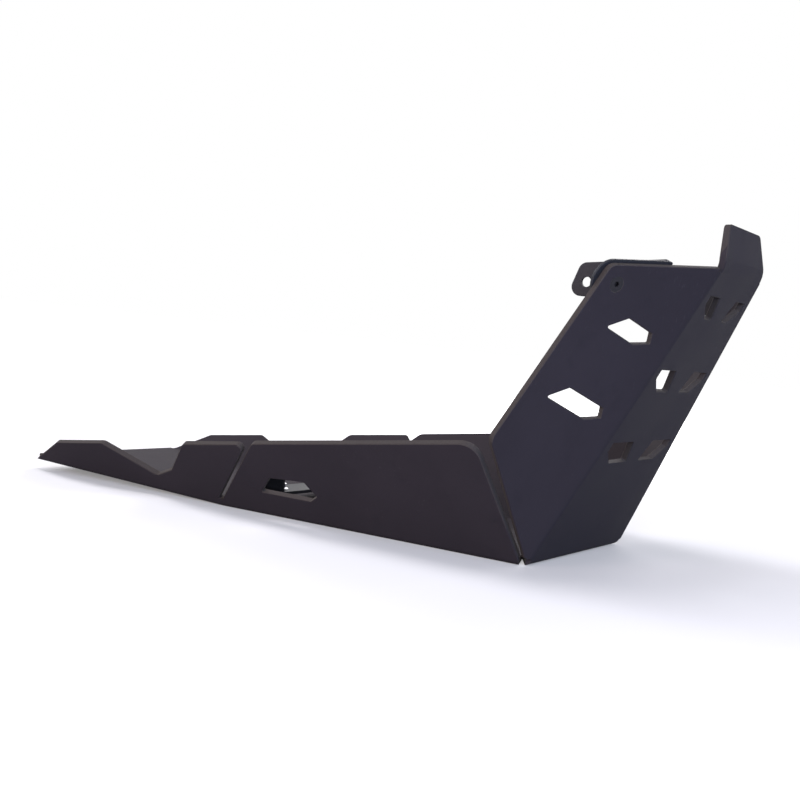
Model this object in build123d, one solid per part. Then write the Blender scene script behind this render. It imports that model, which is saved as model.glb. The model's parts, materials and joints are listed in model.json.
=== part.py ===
"""Motorcycle skid plate: one folded plastic sheet with the screws and brackets that hold it.

Millimetres. +X points to the front of the motorcycle, +Y to its left, +Z up. The origin is the middle of
the level part of the belly's underside, on which the plate stands.
"""

import os
from math import acos, cos, radians, sin, sqrt, tan

from build123d import *

# Sheet
sheet_thickness = 6.0
fold_radius = 10.0            # outside of the long folds
tab_fold_radius = 24.0        # outside of the gentle fold below the tab
edge_chamfer = 0.7
slot_corner = 1.2

# Panels, between the lines where their outside faces would meet
belly_front_length = 311.8    # level
belly_rear_length = 234.0     # rises to the rear
belly_rear_rise = 2.35
belly_half_width = 112.0
ramp_length = 292.6
ramp_top_half_width = 61.8
ramp_rise = 65.6              # degrees from the belly
tab_height = 35.2
tab_turn = 30.9               # degrees back from the ramp
tab_top_half_width = 47.4
tab_corner = 6.0

# Side wings, folded up from the belly
side_wing_rise = 53.2
side_height_front = 131.6     # of the straight top edge, at the front fold
side_top_slope = 10.4
side_tail_drop = 1.0          # how far below the fold the slanted rear edge starts
side_tail_slope = 38.0
side_front_lean = 8.8         # degrees that the front edge leans back
side_front_corner = 15.0
side_rear_corner = 2.0

# Slit that lets the belly's rear part rise
slit_foot = 9.0               # height of its lower end above the side fold
slit_back = 1.0               # of its rear side, behind the cross fold
slit_width = 3.6
slit_angle = 53.7
slit_corner_front = 9.0
slit_corner_back = 5.0

# Notch in the rear part, for a bracket of the frame: distance behind the cross fold, height above the fold
notch_front = 49.8
notch_front_height = 31.5
notch_low = 70.5
notch_floor = 20.0
notch_front_slope = 56.2
notch_rear_slope = 23.0
notch_corner = 4.0

# Arrow-shaped slot in the middle part: distance ahead of the cross fold, height above the side fold
side_slot = [(53.2, 28.0), (67.9, 47.2), (104.6, 49.8), (114.7, 34.7), (106.1, 27.7)]

# Front wings, folded back from the ramp
front_wing_turn = 31.2
front_wing_foot = 1.2
front_wing_head_gap = 3.2     # along the fold, below the ramp's upper corner
front_wing_low_width = 105.2
front_wing_high_width = 99.4
front_wing_rear_slope = 53.8
front_wing_top_slope = 26.4
front_wing_low_corner = 12.0
front_wing_high_corner = 9.0

# Slots in a front wing: height of the lower side along the fold, length of the upper side from the fold
front_slots = [(130.2, 66.4), (202.0, 54.1)]
front_slot_size = 15.6
front_slot_inner = 25.4
front_slot_slant_height = 11.2
front_slot_point = 21.5

# Mirrored pairs of slots in the ramp
ramp_slot_head_gap = 28.4     # from the highest slots to the ramp's upper line
ramp_slot_pitch = 71.6
ramp_slot_rows = 3
ramp_slot_size = 20.7
ramp_slot_inner_low = 15.3
ramp_slot_inner_high = 25.3
ramp_slot_margin = 13.8       # to the front wing's fold
ramp_slot_slant_width = 19.8
ramp_slot_slant_height = 12.7

# Hole in the belly below the engine's drain plug
drain_hole_diameter = 42.0
drain_hole_back = 50.0        # behind the origin

# M6 countersunk screws and their flange nuts
screw_diameter = 6.0
screw_clearance_hole = 6.6
countersink_diameter = 14.0
head_recess = 0.8
socket_across_flats = 4.0
socket_depth = 2.4
screw_beyond_nut = 1.8
nut_across_flats = 10.0
nut_height = 6.0
nut_flange_diameter = 14.2
nut_flange_thickness = 1.5

# Front brackets, folded from steel, between the front wings and the frame
front_screw_below_head = 59.7   # along the front wing's fold
front_screw_width = 84.3      # from that fold
bracket_thickness = 3.0
bracket_fold_radius = 8.0
bracket_ear_radius = 18.5
bracket_ear_shift = 1.5       # of the ear's middle, past the screw
bracket_frame_side = 90.0     # from the middle of the motorcycle to the face on the frame
bracket_frame_reach = 80.0
bracket_frame_corner = 8.0
bracket_frame_drop = 9.0      # that the upper edge falls to the rear
frame_hole_diameter = 8.5
frame_hole_pitch = 30.0
frame_hole_first = 29.0       # behind the bracket's fold
frame_hole_drop = 1.5         # below the middle of the fold

# Rear bracket, a steel crossbar on two spacers, with a foot for the frame at each end
rear_bracket_ahead = 28.0     # of the cross fold
rear_bracket_width = 30.0
rear_bracket_half_length = 78.0
rear_bracket_rise = 26.0
rear_bracket_foot_length = 28.0
rear_bracket_fold_radius = 6.0
rear_bracket_foot_corner = 8.0
rear_screw_half_spacing = 58.0
spacer_diameter = 18.0
spacer_height = 9.0


def unit(vector):
    return vector * (1.0 / vector.length)


# Directions of the right-hand side: along each panel, and out of its outer face
forward = Vector(1, 0, 0)
left = Vector(0, 1, 0)
down = Vector(0, 0, -1)

ramp_up = Vector(cos(radians(ramp_rise)), 0, sin(radians(ramp_rise)))
ramp_out = Vector(sin(radians(ramp_rise)), 0, -cos(radians(ramp_rise)))
tab_rise = ramp_rise + tab_turn
tab_up = Vector(cos(radians(tab_rise)), 0, sin(radians(tab_rise)))
tab_out = Vector(sin(radians(tab_rise)), 0, -cos(radians(tab_rise)))

side_up = Vector(0, -cos(radians(side_wing_rise)), sin(radians(side_wing_rise)))
side_out = Vector(0, -sin(radians(side_wing_rise)), -cos(radians(side_wing_rise)))

front_corner = Vector(belly_front_length / 2, -belly_half_width, 0)
front_middle = Vector(belly_front_length / 2, 0, 0)
rear_corner = front_corner - forward * belly_front_length
rear_middle = front_middle - forward * belly_front_length
ramp_top = front_middle + ramp_up * ramp_length
ramp_top_corner = ramp_top - left * ramp_top_half_width

front_wing_along = unit(ramp_top_corner - front_corner)
ramp_sideways = ramp_out.cross(front_wing_along)
front_wing_back = ramp_sideways * cos(radians(front_wing_turn)) - ramp_out * sin(radians(front_wing_turn))
front_wing_out = front_wing_along.cross(front_wing_back)

belly_plane = Plane(front_middle, x_dir=forward, z_dir=down)
ramp_plane = Plane(front_middle, x_dir=ramp_up, z_dir=ramp_out)
tab_plane = Plane(ramp_top, x_dir=tab_up, z_dir=tab_out)
side_plane = Plane(front_corner, x_dir=forward, z_dir=side_out)
rear_belly_plane = Plane(rear_middle, x_dir=forward, z_dir=down)
rear_side_plane = Plane(rear_corner, x_dir=forward, z_dir=side_out)
front_wing_plane = Plane(front_corner, x_dir=front_wing_along, z_dir=front_wing_out)


def setback(turn, radius):
    """Distance from the line where two faces would meet to the start of the fold's arc."""
    return radius * tan(radians(turn) / 2)


belly_to_side = setback(side_wing_rise, fold_radius)
belly_to_ramp = setback(ramp_rise, fold_radius)
ramp_to_wing = setback(front_wing_turn, fold_radius)
ramp_to_tab = setback(tab_turn, tab_fold_radius)


def rounded_face(corners):
    """Face in the XY plane from corners given as x, y and corner radius."""
    points = [(corner[0], corner[1]) for corner in corners]
    radii = [corner[2] if len(corner) > 2 else 0 for corner in corners]
    if max(radii) > 0:
        return make_face(FilletPolyline(*points, radius=radii, close=True))
    return make_face(Polyline(*points, close=True))


def panel(plane, corners, folded, cutters=(), thickness=sheet_thickness):
    """Flat part of a sheet, whose outer face lies in the plane.

    The cut edges are chamfered. The sides that go over into a fold, counted from the first corner, are not.
    """
    flat = extrude(plane * rounded_face(corners), amount=thickness, dir=plane.z_dir * -1)
    for cutter in cutters:
        flat -= cutter
    fold_sides = []
    for side in folded:
        start, end = corners[side], corners[(side + 1) % len(corners)]
        middle = ((start[0] + end[0]) / 2, (start[1] + end[1]) / 2)
        fold_sides += [plane.from_local_coords((*middle, depth)) for depth in (0, -thickness)]
    cut_edges = []
    for edge in flat.faces().filter_by(Axis(plane.origin, plane.z_dir)).edges():
        if min((edge.center() - side).length for side in fold_sides) > 0.01:
            cut_edges.append(edge)
    return chamfer(cut_edges, edge_chamfer)


def through_cut(plane, corners):
    """Cutter with straight walls, at right angles to the plane."""
    return extrude(plane * rounded_face(corners), amount=sheet_thickness * 4, both=True)


def fold(start, end, first, first_out, second, second_out,
         radius=fold_radius, thickness=sheet_thickness, lip=0.0):
    """Bent part of a sheet between two panels, from start to end of the line where their faces meet.

    A lip is a flat strip beyond the bend, on the second panel's side.
    """
    turn = acos(max(-1.0, min(1.0, first_out.dot(second_out))))
    reach = radius * tan(turn / 2)
    middle = unit(first_out + second_out)
    centre = start + first * reach - first_out * radius
    outer_first = start + first * reach
    outer_second = start + second * reach
    inner_first = outer_first - first_out * thickness
    inner_second = outer_second - second_out * thickness
    outline = [ThreePointArc(outer_first, centre + middle * radius, outer_second)]
    if lip > 0:
        outer_lip = outer_second + second * lip
        inner_lip = inner_second + second * lip
        outline += [Line(outer_second, outer_lip), Line(outer_lip, inner_lip), Line(inner_lip, inner_second)]
    else:
        outline.append(Line(outer_second, inner_second))
    outline.append(ThreePointArc(inner_second, centre + middle * (radius - thickness), inner_first))
    outline.append(Line(inner_first, outer_first))
    along = unit(end - start)
    bend = extrude(Face(Wire(outline)), amount=(end - start).length, dir=along)
    end_edges = []
    for face in bend.faces().filter_by(Axis(start, along)):
        for edge in face.edges():
            direction = edge.tangent_at(0.5)
            if max(abs(direction.dot(first_out)), abs(direction.dot(second_out))) < 0.99:
                end_edges.append(edge)
    return chamfer(end_edges, edge_chamfer)


def mirrored(shape):
    return mirror(shape, about=Plane.XZ)


# Belly: the two parts meet in the plane that halves the angle between them
belly_half = belly_half_width - belly_to_side
cross_fold_overlap = 3.0      # that each part reaches past the plane before it is cut there
drain_hole = Pos(-drain_hole_back, 0, 0) * Cylinder(drain_hole_diameter / 2, sheet_thickness * 3)
belly_front = panel(belly_plane, [
    (-belly_front_length - cross_fold_overlap, -belly_half),
    (-belly_to_ramp, -belly_half),
    (-belly_to_ramp, belly_half),
    (-belly_front_length - cross_fold_overlap, belly_half),
], folded=(0, 1, 2, 3), cutters=[drain_hole])
belly_rear = panel(rear_belly_plane, [
    (-belly_rear_length, -belly_half),
    (cross_fold_overlap, -belly_half),
    (cross_fold_overlap, belly_half),
    (-belly_rear_length, belly_half),
], folded=(0, 1, 2))
half_rise = radians(belly_rear_rise / 2)


def half_space(towards_rear):
    """Cutter on one side of the plane in which the belly's two parts meet, as they lie before the fold."""
    side = Vector(-towards_rear * cos(half_rise), 0, sin(half_rise))
    section = Rectangle(belly_half_width * 4, sheet_thickness * 12)
    return extrude(Plane(rear_middle, x_dir=left, z_dir=side) * section, amount=cross_fold_overlap * 6)


behind_cross_fold = half_space(1)
before_cross_fold = half_space(-1)

# Ramp, up to its folds
taper = (belly_half_width - ramp_top_half_width) / ramp_length
wing_edge = ramp_to_wing * sqrt(1 + taper * taper)
ramp_low_half = belly_half_width - taper * belly_to_ramp - wing_edge
ramp_high = ramp_length - ramp_to_tab
ramp_high_half = belly_half_width - taper * ramp_high - wing_edge
ramp_slots = []
for row in range(ramp_slot_rows):
    slot_high = ramp_length - ramp_slot_head_gap - row * ramp_slot_pitch
    slot_low = slot_high - ramp_slot_size
    slot_outer = belly_half_width - taper * slot_high - ramp_slot_margin
    ramp_slot = through_cut(ramp_plane, [
        (slot_low, ramp_slot_inner_low, slot_corner),
        (slot_high, ramp_slot_inner_high, slot_corner),
        (slot_high, slot_outer, slot_corner),
        (slot_low + ramp_slot_slant_height, slot_outer, slot_corner),
        (slot_low, slot_outer - ramp_slot_slant_width, slot_corner),
    ])
    ramp_slots += [ramp_slot, mirrored(ramp_slot)]
ramp = panel(ramp_plane, [
    (belly_to_ramp, -ramp_low_half),
    (ramp_high, -ramp_high_half),
    (ramp_high, ramp_high_half),
    (belly_to_ramp, ramp_low_half),
], folded=(0, 1, 2, 3), cutters=ramp_slots)
front_fold_half = min(belly_half, ramp_low_half)
front_fold = fold(
    front_middle - left * front_fold_half, front_middle + left * front_fold_half,
    forward * -1, down, ramp_up, ramp_out,
)

# Tab on top of the ramp
tab = panel(tab_plane, [
    (ramp_to_tab, -ramp_high_half),
    (tab_height, -tab_top_half_width, tab_corner),
    (tab_height, tab_top_half_width, tab_corner),
    (ramp_to_tab, ramp_high_half),
], folded=(3,))
tab_fold = fold(
    ramp_top - left * ramp_high_half, ramp_top + left * ramp_high_half,
    ramp_up * -1, ramp_out, tab_up, tab_out, radius=tab_fold_radius,
)

# Side wing: its top edge is one straight line over both parts, so it is steeper seen from the rear part
front_top = tan(radians(side_top_slope))
rear_top = tan(radians(side_top_slope + belly_rear_rise))
rear_height = side_height_front - front_top * belly_front_length
front_lean = tan(radians(side_front_lean))
side_lip = slit_foot - belly_to_side


def crossing(height, top_slope, along, above, slope):
    """Where the top edge meets a line through a point, both with their slopes."""
    meeting = (height - above + slope * along) / (slope - top_slope)
    return meeting, height + top_slope * meeting


middle_slit = tan(radians(slit_angle))
slit_front = slit_width / sin(radians(slit_angle)) - slit_back - belly_front_length
middle_front_top = crossing(side_height_front, front_top, -belly_to_ramp, slit_foot, -1 / front_lean)
middle_slit_top = crossing(side_height_front, front_top, slit_front, slit_foot, middle_slit)
side_slot_cut = through_cut(side_plane, [
    (ahead - belly_front_length, height, slot_corner) for ahead, height in side_slot
])
side_middle = panel(side_plane, [
    (-belly_to_ramp, slit_foot),
    (*middle_front_top, side_front_corner),
    (*middle_slit_top, slit_corner_front),
    (slit_front, slit_foot),
], folded=(3,), cutters=[side_slot_cut])

rear_slit = tan(radians(slit_angle + belly_rear_rise))
notch_front_line = tan(radians(notch_front_slope))
notch_rear_line = -tan(radians(notch_rear_slope))
tail_line = tan(radians(side_tail_slope))
tail_foot = -belly_rear_length + (slit_foot + side_tail_drop) / tail_line
side_rear = panel(rear_side_plane, [
    (-slit_back, slit_foot),
    (*crossing(rear_height, rear_top, -slit_back, slit_foot, rear_slit), slit_corner_back),
    (*crossing(rear_height, rear_top, -notch_front, notch_front_height, notch_front_line), notch_corner * 2),
    (-notch_front, notch_front_height, notch_corner),
    (-notch_low, notch_floor, notch_corner),
    (*crossing(rear_height, rear_top, -notch_low, notch_floor, notch_rear_line), notch_corner * 2),
    (*crossing(rear_height, rear_top, tail_foot, slit_foot, tail_line), side_rear_corner),
    (tail_foot, slit_foot),
], folded=(7,))
side_fold_front = fold(
    rear_corner - forward * cross_fold_overlap, front_corner - forward * belly_to_ramp,
    left, down, side_up, side_out, lip=side_lip,
)
side_fold_rear = fold(
    rear_corner - forward * belly_rear_length, rear_corner + forward * cross_fold_overlap,
    left, down, side_up, side_out, lip=side_lip,
)
tail_reach = fold_radius * 4
tail_cut = through_cut(rear_side_plane, [
    (tail_foot - tail_reach, slit_foot - tail_reach * tail_line),
    (tail_foot, slit_foot),
    (tail_foot, slit_foot + tail_reach),
    (tail_foot - tail_reach, slit_foot + tail_reach),
])

# Front wing
rear_slope = tan(radians(front_wing_rear_slope))
head_lean = tan(radians(front_wing_top_slope))
fold_stretch = sqrt(1 + taper * taper)
front_wing_head = ramp_length * fold_stretch - front_wing_head_gap
low_along = front_wing_foot + front_wing_low_width / rear_slope
high_along = front_wing_head - front_wing_high_width * head_lean
front_wing_slots = []
for slot_height, slot_top in front_slots:
    slot_end = slot_height + front_slot_size
    front_wing_slots.append(through_cut(front_wing_plane, [
        (slot_height, slot_top + front_slot_size, slot_corner),
        (slot_end, slot_top, slot_corner),
        (slot_end, front_slot_inner, slot_corner),
        ((slot_height + slot_end) / 2, front_slot_point, slot_corner),
        (slot_height, front_slot_inner + front_slot_slant_height, slot_corner),
    ]))
front_wing = panel(front_wing_plane, [
    (front_wing_foot + ramp_to_wing / rear_slope, ramp_to_wing),
    (low_along, front_wing_low_width, front_wing_low_corner),
    (high_along, front_wing_high_width, front_wing_high_corner),
    (front_wing_head - ramp_to_wing * head_lean, ramp_to_wing),
], folded=(3,), cutters=front_wing_slots)
front_wing += fold(
    front_corner + front_wing_along * (belly_to_ramp * fold_stretch),
    front_corner + front_wing_along * (ramp_high * fold_stretch),
    ramp_sideways * -1, ramp_out, front_wing_back, front_wing_out,
)


def countersunk_hole(plane):
    """Cutter for a countersunk hole, sunk from the plane's outer side."""
    mouth = countersink_diameter / 2
    bore = screw_clearance_hole / 2
    profile = Polyline(
        (0, 1), (mouth, 1), (mouth, 0), (bore, bore - mouth), (bore, -25), (0, -25), close=True
    )
    return plane * revolve(Plane.XZ * make_face(profile), Axis.Z)


front_screw_height = front_wing_head - front_screw_below_head
front_screw_seat = front_wing_plane.from_local_coords((front_screw_height, front_screw_width, 0))
front_screw_plane = Plane(front_screw_seat, x_dir=front_wing_along, z_dir=front_wing_out)
front_wing -= countersunk_hole(front_screw_plane)

# Screw holes in the belly
rear_bracket_x = rear_middle.X + rear_bracket_ahead
rear_screw_plane = Plane((rear_bracket_x, -rear_screw_half_spacing, 0), x_dir=forward, z_dir=down)
rear_screw_cut = countersunk_hole(rear_screw_plane)
belly_front = belly_front - rear_screw_cut - mirrored(rear_screw_cut)

front_side = (side_fold_front - behind_cross_fold) + side_middle + front_wing
rear_side = (side_fold_rear - before_cross_fold - tail_cut) + side_rear
rear_part = (belly_rear - before_cross_fold) + rear_side + mirrored(rear_side)
rear_part = rear_part.rotate(Axis(rear_middle, left), belly_rear_rise)
front_part = (belly_front - behind_cross_fold) + front_fold + ramp + tab_fold + tab
skid_plate = front_part + front_side + mirrored(front_side) + rear_part
skid_plate = skid_plate.clean()


def screw(grip):
    """Countersunk screw with a hexagon socket, pointing down from a sheet's outer face at z = 0.

    It goes through the grip and its nut.
    """
    head = countersink_diameter / 2 - head_recess
    shank = screw_diameter / 2
    tip = -grip - nut_height - screw_beyond_nut
    profile = Polyline(
        (0, -head_recess), (head, -head_recess), (shank, -head_recess - head + shank),
        (shank, tip + 0.7), (shank - 0.7, tip), (0, tip), close=True
    )
    body = revolve(Plane.XZ * make_face(profile), Axis.Z)
    socket = RegularPolygon(socket_across_flats / 2, 6, major_radius=False)
    return body - extrude(Pos(0, 0, -head_recess) * socket, amount=-socket_depth)


def flange_nut():
    """Hexagon nut with a flange, standing on z = 0 and pointing down."""
    across = nut_across_flats / 2
    corner = across / cos(radians(30))
    flange = nut_flange_diameter / 2
    blank = Polyline(
        (screw_diameter / 2, 0), (flange, 0), (flange, -nut_flange_thickness * 0.6),
        (corner, -nut_flange_thickness - 0.4), (corner, -nut_height + (corner - across) * 0.6),
        (across, -nut_height), (screw_diameter / 2, -nut_height), close=True
    )
    body = revolve(Plane.XZ * make_face(blank), Axis.Z)
    hexagon = extrude(RegularPolygon(across, 6, major_radius=False), amount=-nut_height)
    skirt = Cylinder(flange, nut_flange_thickness + 0.4, align=(Align.CENTER, Align.CENTER, Align.MAX))
    return body & (hexagon + skirt)


def ear_point(along, across):
    """Point of the front bracket's ear, along and across its middle line."""
    return (
        ear_along[0] * along - ear_along[1] * across,
        ear_y + ear_along[1] * along + ear_along[0] * across,
    )


# Front bracket: one flange on the front wing's inner face, the other upright on the frame
bracket_axis = unit(front_wing_out.cross(left))
ear_outward = front_wing_out.cross(bracket_axis)
frame_back = left.cross(bracket_axis * -1)
ear_seat = front_screw_seat - front_wing_out * sheet_thickness
seat_to_frame = (-bracket_frame_side - ear_seat.Y) / ear_outward.Y
bracket_corner = ear_seat + ear_outward * seat_to_frame
bracket_turn = acos(front_wing_out.dot(left))
bracket_setback = bracket_fold_radius * tan(bracket_turn / 2)
ear_plane = Plane(bracket_corner, x_dir=bracket_axis, z_dir=front_wing_out)
frame_plane = Plane(bracket_corner, x_dir=bracket_axis * -1, z_dir=left)

head_line = unit(front_wing_back * cos(radians(front_wing_top_slope))
                 - front_wing_along * sin(radians(front_wing_top_slope)))
ear_along = (head_line.dot(bracket_axis), head_line.dot(ear_outward))
ear_y = -seat_to_frame
ear_side = bracket_ear_radius
ear_end = bracket_ear_radius + bracket_ear_shift


def ear_foot(across):
    """Where the ear's side at this distance from its middle line reaches the fold."""
    along = (bracket_setback - ear_y - ear_along[0] * across) / ear_along[1]
    return ear_point(along, across)


ear_round = ear_side * 0.97
ear_low = ear_foot(ear_side)
ear_high = ear_foot(-ear_side)
ear_flange = panel(ear_plane, [
    ear_low,
    (*ear_point(ear_end, ear_side), ear_round),
    (*ear_point(ear_end, -ear_side), ear_round),
    ear_high,
], folded=(3,), thickness=bracket_thickness)
bracket_fold = fold(
    bracket_corner + bracket_axis * ear_low[0], bracket_corner + bracket_axis * ear_high[0],
    ear_outward, front_wing_out, frame_back, left,
    radius=bracket_fold_radius, thickness=bracket_thickness,
)
level_drop = bracket_axis.X / bracket_axis.Z * (bracket_frame_reach - bracket_setback)
frame_flange = panel(frame_plane, [
    (-ear_low[0], bracket_setback),
    (-ear_low[0] + level_drop, bracket_frame_reach, bracket_frame_corner),
    (-ear_high[0] + level_drop + bracket_frame_drop, bracket_frame_reach, bracket_frame_corner),
    (-ear_high[0], bracket_setback),
], folded=(3,), thickness=bracket_thickness)
front_bracket_right = ear_flange + bracket_fold + frame_flange
front_bracket_right -= front_screw_plane * Cylinder(screw_clearance_hole / 2, sheet_thickness * 8)
fold_middle = bracket_corner + bracket_axis * ((ear_low[0] + ear_high[0]) / 2)
first_hole = fold_middle - forward * (bracket_setback + frame_hole_first) + down * frame_hole_drop
for hole_centre in (first_hole, first_hole - forward * frame_hole_pitch):
    frame_hole = Cylinder(frame_hole_diameter / 2, bracket_thickness * 4)
    front_bracket_right -= Plane(hole_centre, x_dir=forward, z_dir=left) * frame_hole
front_bracket_right = front_bracket_right.clean()

front_screw_right = front_screw_plane * screw(sheet_thickness + bracket_thickness)
front_nut_right = front_screw_plane * Pos(0, 0, -sheet_thickness - bracket_thickness) * flange_nut()

# Rear bracket
bar_bottom = sheet_thickness + spacer_height
foot_bottom = bar_bottom + rear_bracket_rise
bar_half = rear_bracket_half_length
foot_end = bar_half + rear_bracket_foot_length


def bar_line(half, bottom, foot):
    """One skin of the bar's section, from foot to foot."""
    return [(-foot_end, foot), (-half, foot), (-half, bottom), (half, bottom), (half, foot), (foot_end, foot)]


lower_line = bar_line(bar_half, bar_bottom, foot_bottom)
upper_line = bar_line(
    bar_half - bracket_thickness, bar_bottom + bracket_thickness, foot_bottom + bracket_thickness
)[::-1]
wide = rear_bracket_fold_radius
tight = wide - bracket_thickness
bar_section = FilletPolyline(
    *lower_line, *upper_line,
    radius=[0, tight, wide, wide, tight, 0, 0, wide, tight, tight, wide, 0], close=True,
)
bar_plane = Plane((rear_bracket_x, 0, 0), x_dir=left, z_dir=forward)
rear_bracket = extrude(bar_plane * make_face(bar_section), amount=rear_bracket_width / 2, both=True)
foot_edges = [
    edge for edge in rear_bracket.edges().filter_by(Axis.Z) if abs(abs(edge.center().Y) - foot_end) < 0.01
]
rear_bracket = fillet(foot_edges, min(rear_bracket_foot_corner, rear_bracket_width * 0.45))
foot_hole_y = foot_end - rear_bracket_width / 2
foot_hole = Pos(rear_bracket_x, -foot_hole_y, foot_bottom) * Cylinder(
    frame_hole_diameter / 2, bracket_thickness * 4
)
rear_bracket = rear_bracket - foot_hole - mirrored(foot_hole)
rear_screw_hole = rear_screw_plane * Cylinder(screw_clearance_hole / 2, (bar_bottom + bracket_thickness) * 3)
rear_bracket = rear_bracket - rear_screw_hole - mirrored(rear_screw_hole)

rear_screw_right = rear_screw_plane * screw(bar_bottom + bracket_thickness)
rear_spacer_right = rear_screw_plane * Pos(0, 0, -sheet_thickness - spacer_height / 2) * (
    Cylinder(spacer_diameter / 2, spacer_height) - Cylinder(screw_clearance_hole / 2, spacer_height)
)
rear_nut_right = rear_screw_plane * Pos(0, 0, -bar_bottom - bracket_thickness) * flange_nut()

pieces = {
    "skid_plate": skid_plate,
    "front_bracket_right": front_bracket_right,
    "front_bracket_left": mirrored(front_bracket_right),
    "front_screw_right": front_screw_right,
    "front_screw_left": mirrored(front_screw_right),
    "front_nut_right": front_nut_right,
    "front_nut_left": mirrored(front_nut_right),
    "rear_bracket": rear_bracket,
    "rear_screw_right": rear_screw_right,
    "rear_screw_left": mirrored(rear_screw_right),
    "rear_spacer_right": rear_spacer_right,
    "rear_spacer_left": mirrored(rear_spacer_right),
    "rear_nut_right": rear_nut_right,
    "rear_nut_left": mirrored(rear_nut_right),
}

os.makedirs("parts", exist_ok=True)
for name, piece in pieces.items():
    export_step(piece, "parts/" + name + ".step")
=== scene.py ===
"""Looks of a motorcycle skid plate: a matte folded sheet with its screws and brackets.

Metres, in the part's own frame: +X to the front, +Y to the left, +Z up.
"""

import json
from functools import reduce
from math import cos, pi, radians, sin

import bmesh
import bpy
import numpy as np
from mathutils import Matrix, Vector


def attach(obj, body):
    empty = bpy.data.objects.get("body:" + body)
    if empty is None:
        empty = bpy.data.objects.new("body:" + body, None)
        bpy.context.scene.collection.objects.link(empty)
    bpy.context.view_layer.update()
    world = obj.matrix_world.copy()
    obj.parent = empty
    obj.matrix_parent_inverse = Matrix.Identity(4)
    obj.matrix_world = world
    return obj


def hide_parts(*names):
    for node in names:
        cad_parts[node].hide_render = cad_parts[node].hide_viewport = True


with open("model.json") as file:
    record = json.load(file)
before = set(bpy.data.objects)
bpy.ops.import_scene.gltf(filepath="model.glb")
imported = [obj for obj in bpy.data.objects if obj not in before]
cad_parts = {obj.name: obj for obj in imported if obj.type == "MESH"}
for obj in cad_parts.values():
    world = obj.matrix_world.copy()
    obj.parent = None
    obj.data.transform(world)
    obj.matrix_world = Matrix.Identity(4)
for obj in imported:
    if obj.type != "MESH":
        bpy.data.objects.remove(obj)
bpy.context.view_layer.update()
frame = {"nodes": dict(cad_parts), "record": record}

# Sheet, measured between the lines where its panels' outside faces would meet
SHEET = 0.006                 # thickness
FOLD_RADIUS = 0.010           # outside of the long folds
TAB_FOLD_RADIUS = 0.024
BELLY_FRONT = 0.3118          # length of the belly's level part
BELLY_HALF_WIDTH = 0.112
REAR_RISE = radians(2.35)
SIDE_RISE = radians(53.2)
RAMP_RISE = radians(65.6)
RAMP_LENGTH = 0.2926
RAMP_TOP_HALF_WIDTH = 0.0618
TAB_TURN = radians(30.9)
FRONT_WING_TURN = radians(31.2)

# Relief notch at the belly's right front corner, from above: tip, rear and front of its mouth, and tip again
NOTCH_OUTLINE = [(0.1369, -0.0775), (0.1504, -0.1171), (0.1579, -0.1168), (0.1373, -0.0775)]
NOTCH_HEIGHTS = (-0.002, 0.008)  # from below the sheet to above it

# Clean-up of the notched copy
MERGE_DISTANCE = 2e-6
LEVEL_ANGLE = radians(0.3)    # faces closer to one plane than this are joined
SHARP_ANGLE = radians(28)     # edges that turn more than this stay sharp
LARGE_FACE_WEIGHT = 100       # in the smoothing, as Blender counts it: large faces set the normals

# Where the sheet's skin fades out: depth from its middle in thicknesses, distance in fold radii, and cosines
# of the normal to a panel's own way out and to a fold's line
SKIN_DEPTH = (0.5, 0.56)
SKIN_FACING = (0.93, 0.97)
FOLD_REACH = (0.95, 1.0)
FOLD_FACING = (0.12, 0.3)

# Floor and backdrop
FLOOR_RINGS = np.array([0.6, 1.6, 4.0, 9.0])  # radii
FLOOR_SIDES = 96
FLOOR_SEEN = (0.58, 0.58, 0.585, 1)  # its colour to the camera and in reflections
FLOOR_BOUNCE = (0.21, 0.215, 0.27, 1)  # its colour to the light that it sends back to the object
FLOOR_GLOW_NEAR = 0.22        # share of white near the middle, where the object's shadow shows
FLOOR_GLOW_FADE = (0.35, 1.5)  # distances from the middle between which the glow grows to white
SKY_LOW = (0.13, 0.13, 0.135, 1)
SKY_HIGH = (0.26, 0.265, 0.28, 1)
SKY_FADE = (-0.1, 0.9)        # sines of the elevation between which the sky goes from low to high
BLACK = (0.0, 0.0, 0.0, 1)
WHITE = (1.0, 1.0, 1.0, 1)

# Round lamps: name, place, point that it faces, diameter, watts, colour
LAMPS = [
    ("corner", (1.3, -2.2, 0.9), (0, 0, 0.1), 1.4, 62, (0.83, 0.86, 1.0)),
    ("front", (2.2, -0.9, 0.7), (0.1, 0, 0.1), 1.4, 22, (0.30, 0.48, 1.0)),
    ("overhead", (-0.3, -0.1, 2.4), (0, 0, 0.1), 1.6, 25, (1.0, 0.95, 0.97)),
    ("side", (-0.5, -2.3, 0.35), (-0.1, 0, 0.05), 0.9, 28, (1.0, 0.76, 0.74)),
    ("back", (-0.3, 2.4, 1.1), (0, 0, 0.1), 1.8, 50, (1.0, 0.96, 0.97)),
    ("rear", (-2.3, 0.3, 1.5), (0, 0, 0.1), 1.6, 44, (0.95, 0.95, 1.0)),
]

# Camera of the photograph
CAMERA_PLACE = (0.6037, -1.198, 0.1947)
CAMERA_HEADING = radians(118.2804)  # from +X towards +Y
CAMERA_TILT = radians(-3.3422)      # above the horizon
CAMERA_ROLL = radians(6.5629)       # its right side up
FOCAL_PIXELS = 1415.25
FRAME_PIXELS = 800
SENSOR_WIDTH = 36.0                 # millimetres, as Blender's camera has it


def unit(vector):
    return vector / np.linalg.norm(vector)


def risen(vector):
    """The vector turned about Y, as the sheet's rear part is."""
    x, y, z = vector
    return np.array([x * cos(REAR_RISE) + z * sin(REAR_RISE), y, z * cos(REAR_RISE) - x * sin(REAR_RISE)])


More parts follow.
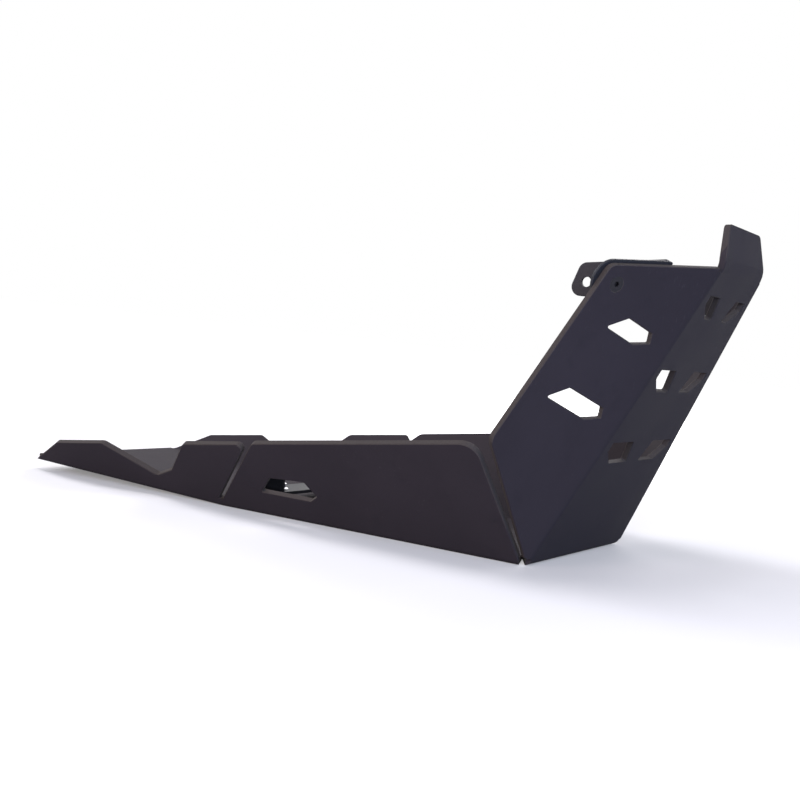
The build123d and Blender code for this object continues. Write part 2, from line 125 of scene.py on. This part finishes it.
# Directions and corners of the right half: along each panel, and out of its outer face
forward = np.array([1.0, 0.0, 0.0])
left = np.array([0.0, 1.0, 0.0])
belly_out = np.array([0.0, 0.0, -1.0])
side_out = np.array([0.0, -sin(SIDE_RISE), -cos(SIDE_RISE)])
ramp_up = np.array([cos(RAMP_RISE), 0.0, sin(RAMP_RISE)])
ramp_out = np.array([sin(RAMP_RISE), 0.0, -cos(RAMP_RISE)])
tab_out = np.array([sin(RAMP_RISE + TAB_TURN), 0.0, -cos(RAMP_RISE + TAB_TURN)])
front_middle = forward * BELLY_FRONT / 2
front_corner = front_middle - left * BELLY_HALF_WIDTH
cross_middle = front_middle - forward * BELLY_FRONT
cross_corner = front_corner - forward * BELLY_FRONT
ramp_top = front_middle + ramp_up * RAMP_LENGTH
wing_along = unit(ramp_top - left * RAMP_TOP_HALF_WIDTH - front_corner)
wing_back = np.cross(ramp_out, wing_along) * cos(FRONT_WING_TURN) - ramp_out * sin(FRONT_WING_TURN)
wing_out = np.cross(wing_along, wing_back)

# Panels: a point on the outer face, and the way out of it
PANELS = [
    (front_middle, belly_out),
    (cross_middle, risen(belly_out)),
    (front_middle, ramp_out),
    (ramp_top, tab_out),
    (front_corner, side_out),
    (cross_corner, risen(side_out)),
    (front_corner, wing_out),
]

# Folds: a point on the line, its direction, and the outside radius
FOLDS = [
    (front_corner, forward, FOLD_RADIUS),
    (cross_corner, risen(forward), FOLD_RADIUS),
    (front_middle, left, FOLD_RADIUS),
    (front_corner, wing_along, FOLD_RADIUS),
    (ramp_top, left, TAB_FOLD_RADIUS),
]


class Shade:
    """A shader socket that can be calculated with."""

    def __init__(self, tree, socket):
        self.tree = tree
        self.socket = socket

    def node(self, kind, settings=None, output=0, **inputs):
        """A node with its settings, then the values or links of its sockets. Returns one output.

        A socket is named by its words, with _ for a space, or by i and its number.
        """
        made = self.tree.nodes.new(kind)
        for name, value in (settings or {}).items():
            setattr(made, name, value)
        for name, value in inputs.items():
            key = int(name[1:]) if name[1:].isdigit() else name.replace("_", " ")
            socket = made.inputs[key]
            if isinstance(value, Shade):
                self.tree.links.new(value.socket, socket)
            else:
                socket.default_value = value
        return Shade(self.tree, made.outputs[output])

    def outputs(self):
        """All outputs of the node that this one comes from, by name."""
        return {output.name: Shade(self.tree, output) for output in self.socket.node.outputs}

    def math(self, operation, first, *others):
        inputs = {f"i{k}": value for k, value in enumerate((first, *others))}
        return self.node("ShaderNodeMath", {"operation": operation}, **inputs)

    def __add__(self, other):
        return self.math("ADD", self, other)

    def __sub__(self, other):
        return self.math("SUBTRACT", self, other)

    def __rsub__(self, other):
        return self.math("SUBTRACT", other, self)

    def __mul__(self, other):
        return self.math("MULTIPLY", self, other)

    __radd__ = __add__
    __rmul__ = __mul__

    def __abs__(self):
        return self.math("ABSOLUTE", self)

    def sign(self):
        return self.math("SIGN", self)

    def root(self):
        return self.math("SQRT", self)

    def max(self, other):
        return self.math("MAXIMUM", self, other)

    def step(self, low, high):
        """0 below low, 1 above high and smooth between them."""
        settings = {"interpolation_type": "SMOOTHSTEP"}
        return self.node("ShaderNodeMapRange", settings, Value=self, From_Min=low, From_Max=high)

    def vector(self, operation, other, output="Vector"):
        return self.node("ShaderNodeVectorMath", {"operation": operation}, output, i0=self, i1=tuple(other))

    def dot(self, other):
        return self.vector("DOT_PRODUCT", other, "Value")

    def parts(self):
        """The three numbers of a vector."""
        return self.node("ShaderNodeSeparateXYZ", Vector=self).outputs().values()

    def length(self):
        return self.node("ShaderNodeVectorMath", {"operation": "LENGTH"}, "Value", i0=self)

    def noise(self, scale, detail, roughness=0.5):
        return self.node("ShaderNodeTexNoise", Vector=self, Scale=scale, Detail=detail, Roughness=roughness)

    def mix(self, first, second):
        """Colour from first to second as the value goes from 0 to 1."""
        return self.node("ShaderNodeMix", {"data_type": "RGBA"}, output=2, i0=self, i6=first, i7=second)

    def bump(self, strength, distance):
        return self.node("ShaderNodeBump", Strength=strength, Distance=distance, Height=self)


def new_material(name, roughness, metallic=0.0, specular=0.5, ior=1.5):
    """Material with its shader and its object coordinates."""
    material = bpy.data.materials.new(name)
    material.use_nodes = True
    shader = material.node_tree.nodes["Principled BSDF"]
    shader.inputs["Roughness"].default_value = roughness
    shader.inputs["Metallic"].default_value = metallic
    shader.inputs["Specular IOR Level"].default_value = specular
    shader.inputs["IOR"].default_value = ior
    place = Shade(material.node_tree, None).node("ShaderNodeTexCoord", output="Object")
    return material, shader, place


def feed(shader, name, shade):
    """Links a value to one of the shader's sockets."""
    shade.tree.links.new(shade.socket, shader.inputs[name])


def skin_mask(place, normal):
    """1 on the sheet's two skins, 0 on its cut edges.

    A point is on a skin where it lies within the thickness of a panel and its normal is that panel's, or
    where it lies near a fold and its normal is at right angles to the fold. The left half mirrors the right.
    """
    x, y, z = place.parts()
    ahead, aside, up = normal.parts()
    spot = place.node("ShaderNodeCombineXYZ", X=x, Y=abs(y) * -1.0, Z=z)
    way = place.node("ShaderNodeCombineXYZ", X=ahead, Y=aside * y.sign() * -1.0, Z=up)
    skins = []
    for point, out in PANELS:
        depth = spot.dot(out) - float(np.dot(point, out))
        outside = abs(depth + SHEET / 2).step(*(SHEET * share for share in SKIN_DEPTH))
        skins.append((1.0 - outside) * abs(way.dot(out)).step(*SKIN_FACING))
    for point, along, radius in FOLDS:
        offset = spot.vector("SUBTRACT", point)
        run = offset.dot(along)
        reach = offset.length()
        distance = (reach * reach - run * run).max(0.0).root()
        beyond = distance.step(*(radius * share for share in FOLD_REACH))
        skins.append((1.0 - beyond) * (1.0 - abs(way.dot(along)).step(*FOLD_FACING)))
    return reduce(Shade.max, skins)


def sheet_material():
    """Matte black plastic sheet: a fine peel, faint clouds, smudges and scuffs, and paler milled edges."""
    material, shader, place = new_material("matte_black_sheet", 0.72, specular=0.3, ior=1.16)
    skin = skin_mask(place, place.node("ShaderNodeNewGeometry", output="Normal"))
    clouds = place.noise(9.0, 4.0, 0.55).step(0.35, 0.68)
    smudges = place.noise(31.0, 3.0, 0.6).step(0.55, 0.75)
    grain = place.noise(1900.0, 2.0, 0.7)
    lanes = place.vector("MULTIPLY", (1.0, 1.0, 0.12)).noise(520.0, 2.0, 0.6).step(0.62, 0.74)
    scuffs = lanes * place.noise(14.0, 2.0).step(0.5, 0.62)
    streaks = place.noise(700.0, 2.0, 0.6)
    clouded = clouds.mix((0.0255, 0.0222, 0.0262, 1), (0.0315, 0.0275, 0.0322, 1))
    smudged = (smudges * 0.35).mix(clouded, (0.0205, 0.0185, 0.0225, 1))
    speckled = (grain.step(0.3, 0.7) * 0.4).mix(smudged, (0.0360, 0.0322, 0.0370, 1))
    scuffed = (scuffs * 0.45).mix(speckled, (0.0430, 0.0400, 0.0450, 1))
    milled = streaks.mix((0.036, 0.032, 0.0315, 1), (0.056, 0.050, 0.047, 1))
    feed(shader, "Base Color", skin.mix(milled, scuffed))
    dull = 0.62 + clouds * 0.07 + grain * 0.05 + (1.0 - skin) * 0.06 - scuffs * 0.05
    feed(shader, "Roughness", dull)
    peel = place.noise(1500.0, 3.0, 0.6) + place.noise(420.0, 2.0) * 0.8
    feed(shader, "Normal", peel.bump(0.22, 0.00010))
    return material


def coated_material():
    """Satin black powder coat on steel."""
    material, shader, place = new_material("black_powder_coat", 0.5, specular=0.3, ior=1.35)
    peel = place.noise(900.0, 2.0)
    tone = place.noise(60.0, 3.0)
    feed(shader, "Base Color", tone.mix((0.010, 0.011, 0.014, 1), (0.016, 0.017, 0.021, 1)))
    feed(shader, "Roughness", 0.46 + peel * 0.12)
    feed(shader, "Normal", peel.bump(0.35, 0.00012))
    return material


def black_screw_material():
    """Black oxide on steel, a little uneven."""
    material, shader, place = new_material("black_oxide", 0.4, metallic=0.9)
    tone = place.noise(700.0, 4.0, 0.6)
    feed(shader, "Base Color", tone.mix((0.016, 0.016, 0.019, 1), (0.032, 0.031, 0.035, 1)))
    feed(shader, "Roughness", 0.36 + tone * 0.22)
    feed(shader, "Normal", tone.bump(0.2, 0.00006))
    return material


def zinc_material():
    """Zinc plate: bright and slightly uneven."""
    material, shader, place = new_material("zinc_plate", 0.34, metallic=1.0)
    tone = place.noise(380.0, 4.0, 0.6)
    feed(shader, "Base Color", tone.mix((0.46, 0.47, 0.50, 1), (0.64, 0.64, 0.66, 1)))
    feed(shader, "Roughness", 0.26 + tone * 0.2)
    feed(shader, "Normal", tone.bump(0.15, 0.00005))
    return material


def turned_material():
    """Turned aluminium with fine rings about each spacer's upright axis."""
    material, shader, place = new_material("turned_aluminium", 0.36, metallic=1.0)
    rings = place.vector("MULTIPLY", (0.02, 0.02, 1.0)).noise(9000.0, 1.0)
    feed(shader, "Base Color", rings.mix((0.60, 0.61, 0.62, 1), (0.76, 0.76, 0.77, 1)))
    feed(shader, "Roughness", 0.28 + rings * 0.18)
    feed(shader, "Normal", rings.bump(0.25, 0.00004))
    return material


FINISHES = {
    "sheet": sheet_material(),
    "front_brackets": coated_material(),
    "screws": black_screw_material(),
    "nuts": zinc_material(),
    "spacers": turned_material(),
}
FINISHES["rear_bracket"] = FINISHES["front_brackets"]


def dress(mesh, slot):
    """Gives a mesh the finish of a material slot."""
    mesh.materials.clear()
    mesh.materials.append(FINISHES[slot])


def new_object(name, data):
    """Object at the origin, linked to the scene."""
    made = bpy.data.objects.new(name, data)
    bpy.context.scene.collection.objects.link(made)
    return made


def new_mesh(name, points, faces):
    """Object with a mesh made from an array of points and a list of faces."""
    mesh = bpy.data.meshes.new(name)
    mesh.from_pydata(points.tolist(), [], faces)
    return new_object(name, mesh)


def notch_cutters():
    """Two upright wedges, one at each front corner of the belly.

    A wedge has the notch's outline at its lower and its upper height, with one side face for each pair of
    neighbouring corners. The left wedge is the right one with Y and the order of each face turned round.
    """
    corners = len(NOTCH_OUTLINE)
    heights = np.repeat(NOTCH_HEIGHTS, corners)
    right = np.column_stack([np.tile(NOTCH_OUTLINE, (2, 1)), heights])
    points = np.concatenate([right, right * (1, -1, 1)])
    lower = tuple(range(corners))
    upper = tuple(k + corners for k in lower)
    following = lower[1:] + lower[:1]
    sides = [(k, after, after + corners, k + corners) for k, after in zip(lower, following)]
    wedge = [lower[::-1], upper] + sides
    mirrored = [tuple(k + len(right) for k in reversed(face)) for face in wedge]
    return new_mesh("notch_cutters", points, wedge + mirrored)


def apply_modifiers(piece):
    """Puts the result of the piece's modifiers into its mesh."""
    bpy.context.view_layer.update()
    evaluated = piece.evaluated_get(bpy.context.evaluated_depsgraph_get())
    mesh = bpy.data.meshes.new_from_object(evaluated)
    piece.modifiers.clear()
    piece.data = mesh


def joined_copy(mesh):
    """Copy of a node's loose triangles, with their doubles merged and their flat stretches made one face."""
    copied = mesh.copy()
    joined = bmesh.new()
    joined.from_mesh(copied)
    bmesh.ops.remove_doubles(joined, verts=joined.verts, dist=MERGE_DISTANCE)
    bmesh.ops.dissolve_limit(joined, angle_limit=LEVEL_ANGLE, verts=joined.verts, edges=joined.edges)
    joined.to_mesh(copied)
    joined.free()
    return copied


def notched_sheet():
    """The folded sheet with the slim relief notch at each end of its front fold."""
    sheet = new_object("notched_sheet", joined_copy(frame["nodes"]["skid_plate"].data))
    cutters = notch_cutters()
    cut = sheet.modifiers.new("notches", "BOOLEAN")
    cut.operation = "DIFFERENCE"
    cut.solver = "EXACT"
    cut.object = cutters
    apply_modifiers(sheet)
    bpy.data.objects.remove(cutters)
    sheet.data.shade_smooth()
    sheet.data.set_sharp_from_angle(angle=SHARP_ANGLE)
    level = sheet.modifiers.new("level_panels", "WEIGHTED_NORMAL")
    level.mode = "FACE_AREA"
    level.weight = LARGE_FACE_WEIGHT
    level.keep_sharp = True
    apply_modifiers(sheet)
    dress(sheet.data, "sheet")
    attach(sheet, "root")
    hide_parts("skid_plate")


def seen_rays(start):
    """1 on rays that the camera, a shiny surface or a clear one sends, 0 on the rest."""
    rays = start.node("ShaderNodeLightPath").outputs()
    return rays["Is Camera Ray"].max(rays["Is Glossy Ray"]).max(rays["Is Transmission Ray"])


def stage_floor():
    """Pale round floor: it glows white round about, and keeps the object's shadow near the middle.

    A point of a ring is its radius times the cosine and sine of its turn. A fan of triangles fills the first
    ring, and quadrangles join each ring to the next. What the floor sends back to the object is dimmer than
    what is seen of it.
    """
    turns = np.linspace(0, 2 * pi, FLOOR_SIDES, endpoint=False)
    circle = np.column_stack([np.cos(turns), np.sin(turns), np.zeros(FLOOR_SIDES)])
    rings = (FLOOR_RINGS[:, None, None] * circle).reshape(-1, 3)
    points = np.vstack([np.zeros((1, 3)), rings])
    here = 1 + np.arange(FLOOR_SIDES)
    after = np.roll(here, -1)
    faces = np.column_stack([np.zeros_like(here), here, after]).tolist()
    for inner in range(0, len(rings) - FLOOR_SIDES, FLOOR_SIDES):
        outer = inner + FLOOR_SIDES
        faces += np.column_stack([here + inner, here + outer, after + outer, after + inner]).tolist()
    floor = new_mesh("floor", points, faces)
    material, shader, place = new_material("pale_floor", 1.0, specular=0.0)
    seen = seen_rays(place)
    fade = place.length().step(*FLOOR_GLOW_FADE)
    glow = seen * (FLOOR_GLOW_NEAR + fade * (1.0 - FLOOR_GLOW_NEAR))
    feed(shader, "Base Color", seen.mix(FLOOR_BOUNCE, FLOOR_SEEN))
    feed(shader, "Emission Color", glow.mix(BLACK, WHITE))
    shader.inputs["Emission Strength"].default_value = 1.0
    floor.data.materials.append(material)


def stage_world():
    """White backdrop, and a dimmer light from it that grows from the horizon to the top."""
    world = bpy.data.worlds.new("studio")
    world.use_nodes = True
    tree = world.node_tree
    tree.nodes.clear()
    start = Shade(tree, None)
    height = start.node("ShaderNodeTexCoord", output="Generated").dot((0, 0, 1))
    sky = height.step(*SKY_FADE).mix(SKY_LOW, SKY_HIGH)
    background = start.node("ShaderNodeBackground", Color=seen_rays(start).mix(sky, WHITE))
    output = tree.nodes.new("ShaderNodeOutputWorld")
    tree.links.new(background.socket, output.inputs["Surface"])
    bpy.context.scene.world = world


def lamp(name, place, target, size, power, colour):
    """Round lamp at a place, turned to face a point."""
    light = bpy.data.lights.new(name, "AREA")
    light.shape = "DISK"
    light.size = size
    light.energy = power
    light.color = colour
    away = Vector(place) - Vector(target)
    turn = away.to_track_quat("Z", "Y").to_matrix().to_4x4()
    new_object(name, light).matrix_world = Matrix.Translation(place) @ turn


def camera():
    """Camera at the photograph's place, turned by its heading, its tilt and its roll."""
    view = bpy.data.cameras.new("camera")
    view.sensor_width = SENSOR_WIDTH
    view.lens = SENSOR_WIDTH * FOCAL_PIXELS / FRAME_PIXELS
    heading = Matrix.Rotation(CAMERA_HEADING - pi / 2, 4, "Z")
    tilt = Matrix.Rotation(CAMERA_TILT + pi / 2, 4, "X")
    roll = Matrix.Rotation(CAMERA_ROLL, 4, "Z")
    holder = new_object("camera", view)
    holder.matrix_world = Matrix.Translation(CAMERA_PLACE) @ heading @ tilt @ roll
    bpy.context.scene.camera = holder


for part in frame["record"]["subparts"]:
    dress(frame["nodes"][part["node"]].data, part["material_slot"])
notched_sheet()
stage_floor()
stage_world()
for settings in LAMPS:
    lamp(*settings)
camera()
bpy.context.scene.view_settings.view_transform = "Standard"
